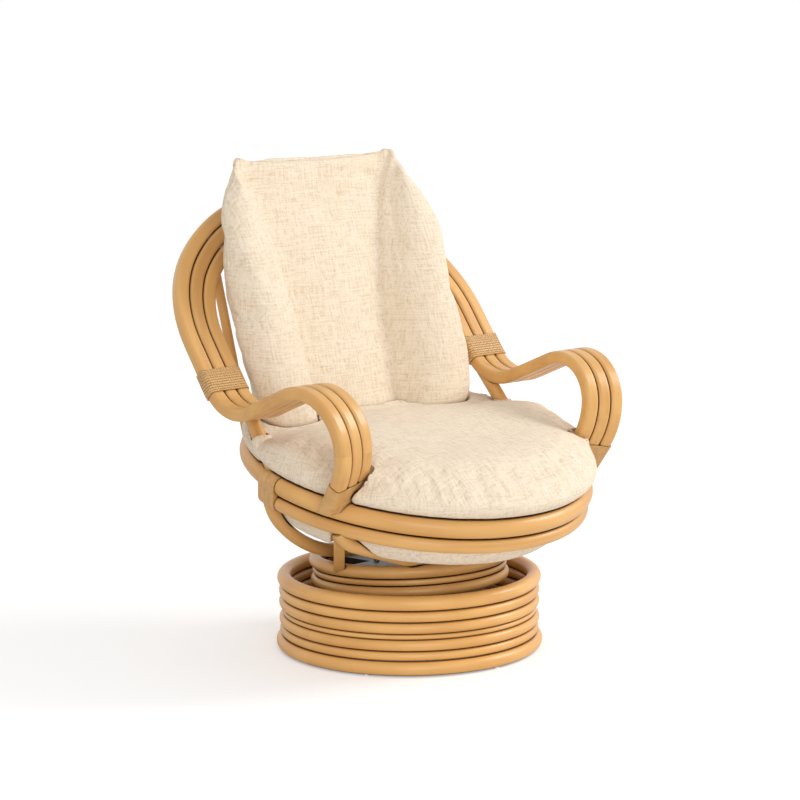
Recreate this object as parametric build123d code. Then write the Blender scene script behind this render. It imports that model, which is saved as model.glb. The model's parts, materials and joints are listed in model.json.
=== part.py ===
"""Cane swivel rocker: a hoop seat with a three-cane back-and-arm loop on a rocking, turning base.

Millimetres. +Z is up and the chair faces -Y. Everything is drawn about the swivel axis, and
written with the middle of the chair's whole depth over the origin, which is on the floor.
The upper drum, boards and steel under the seat are drawn level, then leaned back to the rest pose.
"""

import os
from math import acos, atan2, cos, degrees, radians, sin, sqrt

from build123d import *

os.makedirs("parts", exist_ok=True)

DEPTH_MIDDLE = 14.75    # from the swivel axis back to the middle of the chair's whole depth

# Clearances
SEAT_GAP = 0.3          # between two curved pieces that bear on each other
RUNNING_GAP = 0.05      # radial, between a shaft or ball and what it turns in
NAIL_GAP = 0.02         # radial, around a driven nail, a bolt or a pressed pin
SOFT_GAP = 1.0          # between a cushion and the pieces around it

# Base drum: canes bent to hoops and stacked on a wider foot hoop
DRUM_RADIUS = 235.0                                  # centre line of the stacked hoops
FOOT_RADIUS = 238.0
FOOT_CANE = 26.5
BASE_CANES = (18.2, 20.6, 10.6, 21.0, 21.0, 27.0)    # from the foot hoop up
BASE_BOARD_CANE = 1                                  # the boards end against this one
GLIDE_DIAMETER = 14.0
GLIDE_HEIGHT = 1.5
GLIDES = 6

# Boards across the two drums
BOARD_THICKNESS = 20.0
BOARD_WIDTH = 104.0
BOARD_HOLE = 38.0
NAIL = 3.0
NAIL_BITE = 22.0        # length of a nail in the board's end

# Swivel
PLATE = 4.0             # steel sheet
SWIVEL_PLATE_SIDE = 150.0
BALL = 8.0
BALL_CIRCLE = 46.0      # radius of the ball race
BALLS = 18
PLATE_SPACE = 3.0       # between the two race plates
CAGE_THICKNESS = 1.2
KING_PIN = 16.0
KING_WASHER = 32.0
BOLT = 6.0
BOLT_HEAD = 12.0
NUT = 10.0              # across flats
NUT_HEIGHT = 5.0
BOLT_RADIAL = 60.0      # base bolts: distance out along a board
BOLT_SIDE = 34.0        # base bolts: distance to either side of its middle line

# Rocking pivot
PIVOT_HEIGHT = 107.0
PIVOT_PIN = 12.0
BUSH_WALL = 2.0
BUSH_FLANGE = 1.6
EAR_RADIUS = 15.0
YOKE_HALF_WIDTH = 50.0  # to the outer faces of the yoke's ears
YOKE_DEPTH = 56.0
HANGER_DEPTH = 64.0
RIVET = 5.0
RIVET_X = 30.0
RIVET_Y = 20.0
TURNTABLE_X = 104.0
TURNTABLE_Y = 196.0
TOP_PLATE_X = 120.0
TOP_PLATE_Y = 204.0
TOP_BOLT_X = 44.0
TOP_BOLT_Y = 40.0
REST_LEAN = 2.9         # degrees that the seat leans back at rest

# Springs between the turntable and the top plate
SPRING_X = 32.0
SPRING_Y = 74.0
SPRING_RADIUS = 15.0    # centre line of the wire
SPRING_WIRE = 5.0
SPRING_TURNS = 4.0
SPRING_SEAT = 0.1
SPRING_PEG = 20.0
SPRING_PEG_HEIGHT = 7.0

# Upper drum, which carries the seat
UPPER_DRUM_RADIUS = 176.5
UPPER_DRUM_Y = -4.0
UPPER_DRUM_BASE = 125.9              # underside of its lowest hoop, with the seat level
UPPER_CANES = (21.0, 13.0, 24.5)     # from the bottom up
UPPER_BOARD_CANE = 1
UPPER_BOARD_THICKNESS = 18.0

# Seat hoops
HOOP_RADIUS = 314.0
HOOP_Y = -20.0
HOOP_HEIGHT = 328.0        # centre of the seam between the two hoops
HOOP_SLOPE = 11.6          # degrees, front edge low
UPPER_HOOP_CANE = 36.0
LOWER_HOOP_CANE = 28.0
LOWER_HOOP_END = 174.0     # degrees round the hoop, where the lower one stops
WRAP_THICKNESS = 2.0
WRAP_START = 169.5         # degrees round the hoop covered by a hoop wrap
WRAP_ARC = 9.0
WRAP_TAIL = 20.0           # length of leather down the cradle cane

# Cradle canes and struts between the upper drum and the hoops
CRADLE_CANE = 25.0
REAR_CRADLE_Y = 29.0
REAR_CRADLE_FLAT = 118.0                          # half length of its straight bottom
REAR_CRADLE_BENDS = ((225.0, 47.5), (100.0, 30.0))
REAR_CRADLE_TIP = 32.0
FRONT_CRADLE_Y = -143.0
FRONT_CRADLE_FLAT = 108.0
FRONT_CRADLE_BEND = (110.0, 19.0)
FRONT_CRADLE_SLOPE = 116.0
FRONT_CRADLE_HOOK = (60.0, 33.0)
FRONT_CRADLE_TIP = 14.0
STRUT_SIDE = 20.0
STRUT_FOOT = 182.0         # degrees round the upper drum
STRUT_HEAD = 204.0         # degrees round the lower hoop
STRUT_WRAP = 34.0          # length of the leather round a strut's head

# Back-and-arm loop: three flat canes side by side
RIBBON_CANE = 28.0            # width of one cane
RIBBON_THICKNESS = 24.0
RIBBON_ROUND = 7.0
BACK_RECLINE = 37.4           # degrees from upright
LOOP_HALF_WIDTH = 364.0
LOOP_Y = 161.8                # of the loop's middle plane at its zero level
LOOP_Z = 540.7
SHOULDER_LEVEL = 58.0         # where the legs start to curve in, up the loop's plane
SHOULDER_RADIUS = 277.0       # of the loop's outer edge
SHOULDER_TURN = 45.0
LEG_DROP = 37.0               # straight leg below the zero level
LOW_BEND_RADIUS = 96.6
ARM_RISE = 22.5               # degrees
ARM_RUN = 116.0
CURL_RADIUS = 101.5           # of the curl's outer face
TAIL_RADIUS = 126.0
TAIL_TURN = 35.0
TAIL_RUN = 72.0               # straight end of the tail, under leather
TAIL_END_LIFT = 20.0          # where the canes end, over the seam between the hoops
CURL_LEAN = 7.4               # degrees that the curl leans in
DOWEL = 8.0                   # peg from inside the middle cane's end into the upper hoop
DOWEL_DEPTH = 42.0            # of the peg in the cane, from the end of the strip
WEAVE_LENGTH = 33.0           # of the woven binding on the straight leg
WEAVE_TURN = 9.0              # and on the bend below
WEAVE_ROWS = 7
WEAVE_BEND_ROWS = 3
WEAVE_THICKNESS = 2.4
WEAVE_GROOVE = 0.8

# Uprights and spindles
UPRIGHT_CANE = 26.0
UPRIGHT_HEAD_TURN = 10.0      # degrees into the low bend
UPRIGHT_FOOT = 174.0          # degrees round the upper hoop
UPRIGHT_INSET = 5.8
UPRIGHT_LIFT = 4.0
SPINDLE_CANE = 18.0
OUTER_SPINDLE_HEAD = 43.0     # degrees from the top of the loop
OUTER_SPINDLE_FOOT = 139.8    # degrees round the upper hoop
INNER_SPINDLE_HEAD = 14.0
INNER_SPINDLE_FOOT = 106.0

# Seat cushion, by its distance out from the hoop's axis and its height over the seam
SEAT_BULGE_RADIUS = 334.0
SEAT_BULGE_HEIGHT = 78.0
SEAT_SHOULDER_RADIUS = 300.0
SEAT_SHOULDER_HEIGHT = 113.0
SEAT_CROWN_HEIGHT = 131.0
SEAT_BELLY_HEIGHT = -86.0
SEAT_HEEL_RADIUS = 262.0
SEAT_HEEL_HEIGHT = -73.0
SEAT_HEEL_FULLNESS = 0.30

# Back cushion: height, half width, y of its side seams, then its crown in front and behind
BACK_SECTIONS = (
    (446.0, 238.0, 100.0, 120.0, 50.0),
    (480.0, 258.0, 117.0, 156.0, 66.0),
    (560.0, 266.0, 158.0, 158.0, 80.0),
    (650.0, 268.0, 194.0, 148.0, 88.0),
    (740.0, 264.0, 220.0, 138.0, 90.0),
    (830.0, 250.0, 238.0, 118.0, 72.0),
    (888.0, 224.0, 238.0, 86.0, 48.0),
    (914.0, 192.0, 231.0, 52.0, 26.0),
    (923.0, 160.0, 227.0, 30.0, 14.0),
)
CHANNEL_SHARE = 0.40          # of the half width, where the two channels run
CHANNEL_DEPTH = 0.24          # of the front crown
SIDE_LOBE = 0.30              # fullness of the outer lobes, as a share of the front crown

UP = (Align.CENTER, Align.CENTER, Align.MIN)


# --- Helpers ---------------------------------------------------------------------------------


def write(node, *pieces):
    """Write one named piece, or one group of like pieces, to its file."""
    solids = [solid for piece in pieces for solid in piece.solids()]
    shape = solids[0] if len(solids) == 1 else Compound(children=solids)
    export_step(Pos(0, -DEPTH_MIDDLE, 0) * shape, f"parts/{node}.step")


def mirrored(piece):
    return mirror(piece, about=Plane.YZ)


def write_pair(node, piece):
    """Write the piece on the -X side as left and its mirror image as right."""
    write(f"{node}_left", piece)
    write(f"{node}_right", mirrored(piece))


def biggest(shape):
    return max(shape.solids(), key=lambda solid: solid.volume)


def fused(parts):
    whole = parts[0]
    for part in parts[1:]:
        whole = whole + part
    return biggest(whole)


def cut(piece, *tools):
    """Take the tools off the piece and keep its main body."""
    for tool in tools:
        piece = piece - tool
    return biggest(piece)


def lean(piece):
    """Turn a piece that is drawn level back about the rocking pivot."""
    return piece.rotate(Axis((0, 0, PIVOT_HEIGHT), (1, 0, 0)), -REST_LEAN)


def rod(start, end, diameter):
    """A round bar between two points."""
    run = Vector(*end) - Vector(*start)
    return extrude(Plane(origin=Vector(*start), z_dir=run) * Circle(diameter / 2), run.length)


def post(x, y, low, high, diameter):
    return Pos(x, y, low) * Cylinder(diameter / 2, high - low, align=UP)


def cross_rod(low, high, height, diameter):
    """A round bar along X."""
    return rod((low, 0, height), (high, 0, height), diameter)


def corners(x, y):
    return [(side_x * x, side_y * y) for side_x in (-1, 1) for side_y in (-1, 1)]


class Walker:
    """Sweeps profiles along runs and bends that follow one another smoothly.

    The profile's x axis lies across the strip and its y axis is the face's normal.
    """

    def __init__(self, plane, *profiles):
        self.plane = plane
        self.profiles = profiles
        self.parts = [[] for _ in profiles]
        self.stops = [plane]

    def run(self, length):
        along = self.plane.z_dir
        for parts, profile in zip(self.parts, self.profiles):
            parts.append(extrude(self.plane * profile, length, dir=along))
        return self.stop(Plane(self.plane.origin + along * length, self.plane.x_dir, along))

    def bend(self, radius, angle, toward):
        """Turn by angle degrees about a centre that lies radius away, at local angle toward."""
        side = self.plane.x_dir * cos(radians(toward)) + self.plane.y_dir * sin(radians(toward))
        axis = Axis(self.plane.origin + side * radius, self.plane.z_dir.cross(side))
        for parts, profile in zip(self.parts, self.profiles):
            parts.append(revolve(self.plane * profile, axis, angle))
        origin = Vertex(*self.plane.origin).rotate(axis, angle).center()
        x_dir = self.plane.x_dir.rotate(axis, angle)
        z_dir = self.plane.z_dir.rotate(axis, angle)
        return self.stop(Plane(origin, x_dir, z_dir))

    def stop(self, plane):
        self.plane = plane
        self.stops.append(plane)
        return self

    def solids(self):
        return [fused(parts) for parts in self.parts]

    def solid(self):
        return self.solids()[0]


# --- Drums -----------------------------------------------------------------------------------


def stacked(first, canes):
    """Heights of hoops that are stacked straight up from a first one."""
    levels = [first]
    for below, above in zip(canes, canes[1:]):
        levels.append(levels[-1] + (below + above) / 2 + SEAT_GAP)
    return levels


FOOT_LEVEL = GLIDE_HEIGHT + FOOT_CANE / 2
FOOT_REACH = (FOOT_CANE + BASE_CANES[0]) / 2 + SEAT_GAP
FIRST_LEVEL = FOOT_LEVEL + sqrt(FOOT_REACH**2 - (FOOT_RADIUS - DRUM_RADIUS) ** 2)
BASE_LEVELS = stacked(FIRST_LEVEL, BASE_CANES)
UPPER_LEVELS = stacked(UPPER_DRUM_BASE + UPPER_CANES[0] / 2, UPPER_CANES)


def board_reach(radius, level, thickness, levels, canes):
    """How far out a board can go before it meets the hoops around it."""
    widest = 0.0
    for hoop_level, cane in zip(levels, canes):
        off = max(0.0, abs(hoop_level - level) - thickness / 2)
        if off < cane / 2:
            widest = max(widest, sqrt((cane / 2) ** 2 - off**2))
    return radius - widest - SEAT_GAP


BASE_BOARD = BASE_LEVELS[BASE_BOARD_CANE]
BASE_BOARD_REACH = board_reach(DRUM_RADIUS, BASE_BOARD, BOARD_THICKNESS, BASE_LEVELS, BASE_CANES)
BOARD_TOP = BASE_BOARD + BOARD_THICKNESS / 2
UPPER_BOARD = UPPER_LEVELS[UPPER_BOARD_CANE]
UPPER_BOARD_REACH = board_reach(
    UPPER_DRUM_RADIUS, UPPER_BOARD, UPPER_BOARD_THICKNESS, UPPER_LEVELS, UPPER_CANES
)
TOP_PLATE_HIGH = UPPER_BOARD - UPPER_BOARD_THICKNESS / 2
TOP_PLATE_LOW = TOP_PLATE_HIGH - PLATE


def ring(radius, cane, level, y=0.0):
    return Pos(0, y, level) * Torus(radius, cane / 2)


def board_nails(level, y, radius, cane, reach, extra=0.0):
    """Nails driven through a hoop into the ends of both boards."""
    nails = []
    for turn in range(4):
        for side in (-1, 1):
            spread = side * BOARD_WIDTH / 4
            start = (reach - NAIL_BITE, spread, level)
            end = (sqrt((radius + cane / 2) ** 2 - spread**2) - 1 + 4 * extra, spread, level)
            nail = rod(start, end, NAIL + 2 * extra)
            nails.append(Pos(0, y, 0) * nail.rotate(Axis.Z, 90 * turn))
    return nails


def boards(level, y, reach, thickness, nail_holes):
    """Two boards, half-lapped where they cross, with ends cut to the inside of the hoops."""
    disc = Pos(0, 0, level) * Cylinder(reach, 2 * thickness)
    lap = Box(BOARD_WIDTH, BOARD_WIDTH, thickness)
    long = Pos(0, 0, level) * Box(BOARD_WIDTH, 2 * reach, thickness) & disc
    cross = Pos(0, 0, level) * Box(2 * reach, BOARD_WIDTH, thickness) & disc
    long = Pos(0, y, 0) * (long - Pos(0, 0, level - thickness / 2) * lap)
    cross = Pos(0, y, 0) * (cross - Pos(0, 0, level + thickness / 2) * lap)
    return [cut(board, *nail_holes) for board in (long, cross)]


def floor_glides():
    foot = ring(FOOT_RADIUS, FOOT_CANE + 2 * SEAT_GAP, FOOT_LEVEL)
    glide = post(FOOT_RADIUS, 0, 0, 2 * GLIDE_HEIGHT, GLIDE_DIAMETER)
    glide = cut(fillet(glide.edges().group_by(Axis.Z)[0], GLIDE_HEIGHT / 2), foot)
    return [glide.rotate(Axis.Z, 360 * (i + 0.5) / GLIDES) for i in range(GLIDES)]


def base_drum():
    write("floor_glides", *floor_glides())
    write("base_hoop_foot", ring(FOOT_RADIUS, FOOT_CANE, FOOT_LEVEL))
    cane = BASE_CANES[BASE_BOARD_CANE]
    fit = (BASE_BOARD, 0, DRUM_RADIUS, cane, BASE_BOARD_REACH)
    holes = board_nails(*fit, extra=NAIL_GAP)
    for i, (level, size) in enumerate(zip(BASE_LEVELS, BASE_CANES)):
        hoop = ring(DRUM_RADIUS, size, level)
        if i == BASE_BOARD_CANE:
            hoop = biggest(hoop - holes)
        write(f"base_hoop_{i + 1}", hoop)
    write("base_nails", *board_nails(*fit))
    long, cross = boards(BASE_BOARD, 0, BASE_BOARD_REACH, BOARD_THICKNESS, holes)
    collar = post(0, 0, BASE_BOARD - BOARD_THICKNESS, BOARD_TOP, BOARD_HOLE)
    shanks = [
        post(x, y, BASE_BOARD - BOARD_THICKNESS, BOARD_TOP, BOLT + 2 * NAIL_GAP)
        for x, y in base_bolt_points()
    ]
    write("base_board_long", cut(long, collar, *shanks))
    write("base_board_cross", cut(cross, collar, *shanks))


def upper_drum():
    cane = UPPER_CANES[UPPER_BOARD_CANE]
    fit = (UPPER_BOARD, UPPER_DRUM_Y, UPPER_DRUM_RADIUS, cane, UPPER_BOARD_REACH)
    holes = board_nails(*fit, extra=NAIL_GAP)
    names = ("bottom", "middle", "top")
    for i, (name, level, size) in enumerate(zip(names, UPPER_LEVELS, UPPER_CANES)):
        hoop = ring(UPPER_DRUM_RADIUS, size, level, UPPER_DRUM_Y)
        if i == UPPER_BOARD_CANE:
            hoop = biggest(hoop - holes)
        write(f"upper_hoop_{name}", lean(hoop))
    write("upper_nails", *[lean(nail) for nail in board_nails(*fit)])
    long, cross = boards(UPPER_BOARD, UPPER_DRUM_Y, UPPER_BOARD_REACH, UPPER_BOARD_THICKNESS, holes)
    top = TOP_PLATE_HIGH + UPPER_BOARD_THICKNESS
    shanks = [
        post(x, y, TOP_PLATE_HIGH, top, BOLT + 2 * NAIL_GAP) for x, y in corners(TOP_BOLT_X, TOP_BOLT_Y)
    ]
    write("upper_board_long", lean(cut(long, *shanks)))
    write("upper_board_cross", lean(cut(cross, *shanks)))


# --- Swivel ----------------------------------------------------------------------------------

SWIVEL_TOP = BOARD_TOP + PLATE
TURNTABLE_LOW = SWIVEL_TOP + PLATE_SPACE
TURNTABLE_TOP = TURNTABLE_LOW + PLATE
RACE_LEVEL = (SWIVEL_TOP + TURNTABLE_LOW) / 2


def race():
    return ring(BALL_CIRCLE, BALL + 2 * RUNNING_GAP, RACE_LEVEL)


def sheet_plate(x, y, level):
    return extrude(Pos(0, 0, level) * RectangleRounded(x, y, 14), PLATE)


def base_bolt_points():
    return corners(BOLT_RADIAL, BOLT_SIDE) + corners(BOLT_SIDE, BOLT_RADIAL)


def countersunk(x, y, extra=0.0):
    """A flush bolt: a cone in the swivel plate and a shank through the board and its nut."""
    depth = (BOLT_HEAD - BOLT) / 2
    head = Pos(x, y, SWIVEL_TOP - depth) * Cone(BOLT / 2 + extra, BOLT_HEAD / 2 + extra, depth, align=UP)
    low = BOARD_TOP - BOARD_THICKNESS - NUT_HEIGHT - 2
    return head + post(x, y, low, SWIVEL_TOP - depth, BOLT + 2 * extra)


def nut(x, y, low):
    hexagon = extrude(Pos(x, y, low) * RegularPolygon(NUT / 2, 6, major_radius=False), NUT_HEIGHT)
    return hexagon - post(x, y, low, low + NUT_HEIGHT, BOLT + 2 * NAIL_GAP)


def king_pin():
    """Turned pin with a collar under the swivel plate and a washer and dome over the turntable."""
    seat = TURNTABLE_TOP + SEAT_GAP
    collar = post(0, 0, BOARD_TOP - 5, BOARD_TOP, KING_WASHER)
    shank = post(0, 0, BOARD_TOP - 5, seat, KING_PIN)
    washer = post(0, 0, seat, seat + 2, KING_WASHER)
    dome = post(0, 0, seat + 2, seat + 6, KING_PIN + 4)
    dome = fillet(dome.edges().group_by(Axis.Z)[-1], 2.5)
    return biggest(collar + shank + washer + dome)


def bearing_balls():
    ball = Pos(BALL_CIRCLE, 0, RACE_LEVEL) * Sphere(BALL / 2)
    return [ball.rotate(Axis.Z, 360 * i / BALLS) for i in range(BALLS)]


def ball_cage():
    half = BALL * 0.9
    disc = Cylinder(BALL_CIRCLE + half, CAGE_THICKNESS) - Cylinder(BALL_CIRCLE - half, CAGE_THICKNESS)
    pocket = Pos(BALL_CIRCLE, 0, 0) * Cylinder(BALL / 2 + 2 * RUNNING_GAP, CAGE_THICKNESS)
    pockets = [pocket.rotate(Axis.Z, 360 * i / BALLS) for i in range(BALLS)]
    return Pos(0, 0, RACE_LEVEL) * cut(disc, *pockets)


def spring_peg(x, y, low, high):
    peg = post(x, y, min(low, high), max(low, high), SPRING_PEG)
    tip = peg.edges().group_by(Axis.Z)[-1 if high > low else 0]
    return chamfer(tip, 1.5)


def rivets(points, low, high):
    """Round-headed rivets, flush at one end."""
    up = high > low
    done = []
    for x, y in points:
        shank = post(x, y, min(low, high), max(low, high), RIVET)
        head = Pos(x, y, high) * Sphere(RIVET * 0.9)
        keep = Pos(x, y, high) * Box(20, 20, 20, align=(Align.CENTER, Align.CENTER, Align.MIN if up else Align.MAX))
        cap = head & keep & Pos(x, y, high) * Box(20, 20, 5)
        done.append(biggest(shank + cap))
    return done


def ear(x, foot, depth, bore):
    """A steel ear across the X axis, narrowing from its foot to a round eye at the pivot."""
    sign = 1 if foot < PIVOT_HEIGHT else -1
    half = depth / 2
    drop = abs(PIVOT_HEIGHT - foot)
    aim = atan2(-drop, half)
    touch = aim + acos(EAR_RADIUS / sqrt(half**2 + drop**2))
    px = EAR_RADIUS * cos(touch)
    pz = PIVOT_HEIGHT + sign * EAR_RADIUS * sin(touch)
    with BuildSketch(Plane.YZ.offset(x - PLATE / 2)) as outline:
        with BuildLine():
            Line((-half, foot), (half, foot))
            Line((half, foot), (px, pz))
            ThreePointArc((px, pz), (0, PIVOT_HEIGHT + sign * EAR_RADIUS), (-px, pz))
            Line((-px, pz), (-half, foot))
        make_face()
        with Locations((0, PIVOT_HEIGHT)):
            Circle(bore / 2, mode=Mode.SUBTRACT)
    return extrude(outline.sketch, PLATE)


YOKE_X = YOKE_HALF_WIDTH - PLATE / 2
HANGER_X = YOKE_X - PLATE - BUSH_FLANGE - 2 * SEAT_GAP
BUSH_OUTER = PIVOT_PIN + 2 * BUSH_WALL
HANGER_FOOT = TOP_PLATE_LOW - PLATE
YOKE_FOOT = TURNTABLE_TOP + PLATE


def rocker_yoke():
    """U bracket standing on the turntable, with the fixed eyes of the pivot."""
    foot = extrude(Pos(0, 0, TURNTABLE_TOP) * Rectangle(2 * YOKE_HALF_WIDTH, YOKE_DEPTH), PLATE)
    foot -= post(0, 0, TURNTABLE_TOP, YOKE_FOOT, KING_WASHER + 4)
    for x, y in corners(RIVET_X, RIVET_Y):
        foot -= post(x, y, TURNTABLE_TOP, YOKE_FOOT, RIVET + 2 * NAIL_GAP)
    ears = [ear(x, YOKE_FOOT, YOKE_DEPTH, PIVOT_PIN + 2 * RUNNING_GAP) for x in (-YOKE_X, YOKE_X)]
    return fused([foot, *ears])


def rocker_hanger():
    """Inverted U bracket under the top plate, hung on the pivot's bushes."""
    web = extrude(Pos(0, 0, HANGER_FOOT) * Rectangle(2 * HANGER_X + PLATE, HANGER_DEPTH), PLATE)
    for x, y in corners(RIVET_X - 8, RIVET_Y):
        web -= post(x, y, HANGER_FOOT, TOP_PLATE_LOW, RIVET + 2 * NAIL_GAP)
    ears = [ear(x, HANGER_FOOT, HANGER_DEPTH, BUSH_OUTER + 2 * NAIL_GAP) for x in (-HANGER_X, HANGER_X)]
    return fused([web, *ears])


def pivot_bushes():
    """Nylon bushes in the hanger's eyes, each with a flange between the two ears."""
    bushes = []
    for side in (-1, 1):
        inner = side * (HANGER_X - PLATE / 2)
        outer = side * (HANGER_X + PLATE / 2 + SEAT_GAP)
        sleeve = cross_rod(inner, outer, PIVOT_HEIGHT, BUSH_OUTER)
        flange = cross_rod(outer, outer + side * BUSH_FLANGE, PIVOT_HEIGHT, BUSH_OUTER + 6)
        bore = cross_rod(-YOKE_X, YOKE_X, PIVOT_HEIGHT, PIVOT_PIN + 2 * RUNNING_GAP)
        bushes.append(sleeve + flange - bore)
    return bushes


def pivot_pin():
    tip = YOKE_HALF_WIDTH + 6
    pin = cross_rod(-tip, tip, PIVOT_HEIGHT, PIVOT_PIN)
    pin += cross_rod(-tip, -YOKE_HALF_WIDTH - SEAT_GAP, PIVOT_HEIGHT, PIVOT_PIN + 7)
    groove = cross_rod(tip - 4.5, tip - 3, PIVOT_HEIGHT, PIVOT_PIN + 1)
    groove -= cross_rod(tip - 4.5, tip - 3, PIVOT_HEIGHT, PIVOT_PIN - 2)
    return cut(pin, groove)


def pin_clip():
    """Retaining clip sprung into the pin's groove, open at the bottom."""
    low = YOKE_HALF_WIDTH + 1.6
    disc = cross_rod(low, low + 1.3, PIVOT_HEIGHT, PIVOT_PIN + 6)
    bore = cross_rod(low, low + 1.3, PIVOT_HEIGHT, PIVOT_PIN - 2 + 2 * NAIL_GAP)
    mouth = Pos(low, 0, PIVOT_HEIGHT - PIVOT_PIN / 2) * Box(4, PIVOT_PIN - 4, PIVOT_PIN)
    return cut(disc, bore, mouth)


def spring(x, y):
    """A coil spring with flat-ground ends, between the turntable and the leaning top plate."""
    angle = radians(REST_LEAN)
    seat = (PIVOT_HEIGHT + (TOP_PLATE_LOW - PIVOT_HEIGHT) * cos(angle)) - y * sin(angle)
    low = TURNTABLE_TOP + SPRING_SEAT + SPRING_WIRE * 0.3
    height = seat - SPRING_SEAT - SPRING_WIRE * 0.3 - low
    path = Helix(height / SPRING_TURNS, height, SPRING_RADIUS, center=(x, y, low))
    start = Plane(origin=path @ 0, z_dir=path % 0)
    coil = sweep(start * Circle(SPRING_WIRE / 2), path=path)
    under = post(x, y, low - 40, TURNTABLE_TOP + SPRING_SEAT, 80)
    over = lean(post(x, y, TOP_PLATE_LOW - SPRING_SEAT, TOP_PLATE_LOW + 40, 120))
    return cut(coil, under, over)


def mechanism():
    swivel_plate = cut(
        sheet_plate(SWIVEL_PLATE_SIDE, SWIVEL_PLATE_SIDE, BOARD_TOP),
        race(),
        post(0, 0, BOARD_TOP, SWIVEL_TOP, KING_PIN + 2 * NAIL_GAP),
        *[countersunk(x, y, NAIL_GAP) for x, y in base_bolt_points()],
    )
    write("swivel_plate", swivel_plate)
    write("base_bolts", *[countersunk(x, y) for x, y in base_bolt_points()])
    low = BOARD_TOP - BOARD_THICKNESS - NUT_HEIGHT
    write("base_nuts", *[nut(x, y, low) for x, y in base_bolt_points()])
    write("king_pin", king_pin())
    write("bearing_balls", *bearing_balls())
    write("ball_cage", ball_cage())

    turntable = cut(
        sheet_plate(TURNTABLE_X, TURNTABLE_Y, TURNTABLE_LOW),
        race(),
        post(0, 0, TURNTABLE_LOW, TURNTABLE_TOP, KING_PIN + 2 * RUNNING_GAP),
        *[post(x, y, TURNTABLE_LOW, TURNTABLE_TOP, RIVET + 2 * NAIL_GAP) for x, y in corners(RIVET_X, RIVET_Y)],
    )
    for x, y in corners(SPRING_X, SPRING_Y):
        turntable += spring_peg(x, y, TURNTABLE_TOP, TURNTABLE_TOP + SPRING_PEG_HEIGHT)
    write("turntable_plate", biggest(turntable))
    write("rocker_yoke", rocker_yoke())
    write("yoke_rivets", *rivets(corners(RIVET_X, RIVET_Y), TURNTABLE_LOW, YOKE_FOOT))
    write("pivot_pin", pivot_pin())
    write("pin_clip", pin_clip())
    write("rocker_springs_front", spring(-SPRING_X, -SPRING_Y), spring(SPRING_X, -SPRING_Y))
    write("rocker_springs_rear", spring(-SPRING_X, SPRING_Y), spring(SPRING_X, SPRING_Y))

    write("rocker_hanger", lean(rocker_hanger()))
    write("pivot_bushes", *[lean(bush) for bush in pivot_bushes()])
    top_plate = cut(
        sheet_plate(TOP_PLATE_X, TOP_PLATE_Y, TOP_PLATE_LOW),
        *[post(x, y, TOP_PLATE_LOW, TOP_PLATE_HIGH, BOLT + 2 * NAIL_GAP) for x, y in corners(TOP_BOLT_X, TOP_BOLT_Y)],
        *[post(x, y, TOP_PLATE_LOW, TOP_PLATE_HIGH, RIVET + 2 * NAIL_GAP) for x, y in corners(RIVET_X - 8, RIVET_Y)],
    )
    for x, y in corners(SPRING_X, SPRING_Y):
        top_plate += spring_peg(x, y, TOP_PLATE_LOW, TOP_PLATE_LOW - SPRING_PEG_HEIGHT)
    write("seat_top_plate", lean(biggest(top_plate)))
    hanger_rivets = rivets(corners(RIVET_X - 8, RIVET_Y), TOP_PLATE_HIGH, HANGER_FOOT)
    write("hanger_rivets", *[lean(rivet) for rivet in hanger_rivets])
    bolts = []
    nuts = []
    top = TOP_PLATE_HIGH + UPPER_BOARD_THICKNESS
    for x, y in corners(TOP_BOLT_X, TOP_BOLT_Y):
        head = extrude(Pos(x, y, TOP_PLATE_LOW - 4) * RegularPolygon(NUT / 2, 6, major_radius=False), 4)
        bolts.append(lean(head + post(x, y, TOP_PLATE_LOW, top + NUT_HEIGHT + 2, BOLT)))
        nuts.append(lean(nut(x, y, top)))
    write("plate_bolts", *bolts)
    write("plate_nuts", *nuts)


# --- Seat hoops ------------------------------------------------------------------------------

SLOPE = radians(HOOP_SLOPE)
HOOP = Plane(origin=(0, HOOP_Y, HOOP_HEIGHT), x_dir=(1, 0, 0), z_dir=(0, -sin(SLOPE), cos(SLOPE)))
UPPER_LIFT = (UPPER_HOOP_CANE + SEAT_GAP) / 2
LOWER_LIFT = -(LOWER_HOOP_CANE + SEAT_GAP) / 2


def on_hoop(degrees_round, radius, lift):
    turn = radians(degrees_round)
    return HOOP.from_local_coords(Vector(radius * cos(turn), radius * sin(turn), lift))


def hoop_arc(section, start, arc):
    """Sweep a section, drawn as (distance from the hoop's axis, height), round part of the hoop."""
    turn = radians(start)
    outward = HOOP.x_dir * cos(turn) + HOOP.y_dir * sin(turn)
    across = outward.cross(HOOP.z_dir)
    plane = Plane(origin=HOOP.origin, x_dir=outward, z_dir=across)
    return revolve(plane * section, Axis(HOOP.origin, HOOP.z_dir), arc)


def round_section(lift, diameter):
    return Pos(HOOP_RADIUS, lift) * Circle(diameter / 2)


def upper_hoop(extra=0.0):
    return HOOP.location * Pos(0, 0, UPPER_LIFT) * Torus(HOOP_RADIUS, UPPER_HOOP_CANE / 2 + extra)


def lower_hoop(extra=0.0):
    section = round_section(LOWER_LIFT, LOWER_HOOP_CANE + 2 * extra)
    start = LOWER_HOOP_END - degrees(extra / HOOP_RADIUS)
    return hoop_arc(section, start, 2 * (270 - start))


# --- Cradle ----------------------------------------------------------------------------------


def drum_top(y):
    """Height of the leaning upper drum's top surface at a given y."""
    turn = radians(REST_LEAN)
    top = UPPER_LEVELS[-1] + UPPER_CANES[-1] / 2
    return PIVOT_HEIGHT + (top - PIVOT_HEIGHT) / cos(turn) - y * sin(turn) / cos(turn)


def cradle_start(y, diameter):
    height = drum_top(y) + SEAT_GAP + (diameter / 2) / cos(radians(REST_LEAN))
    return Plane(origin=(0, y, height), x_dir=(0, 0, 1), z_dir=(-1, 0, 0))


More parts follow.
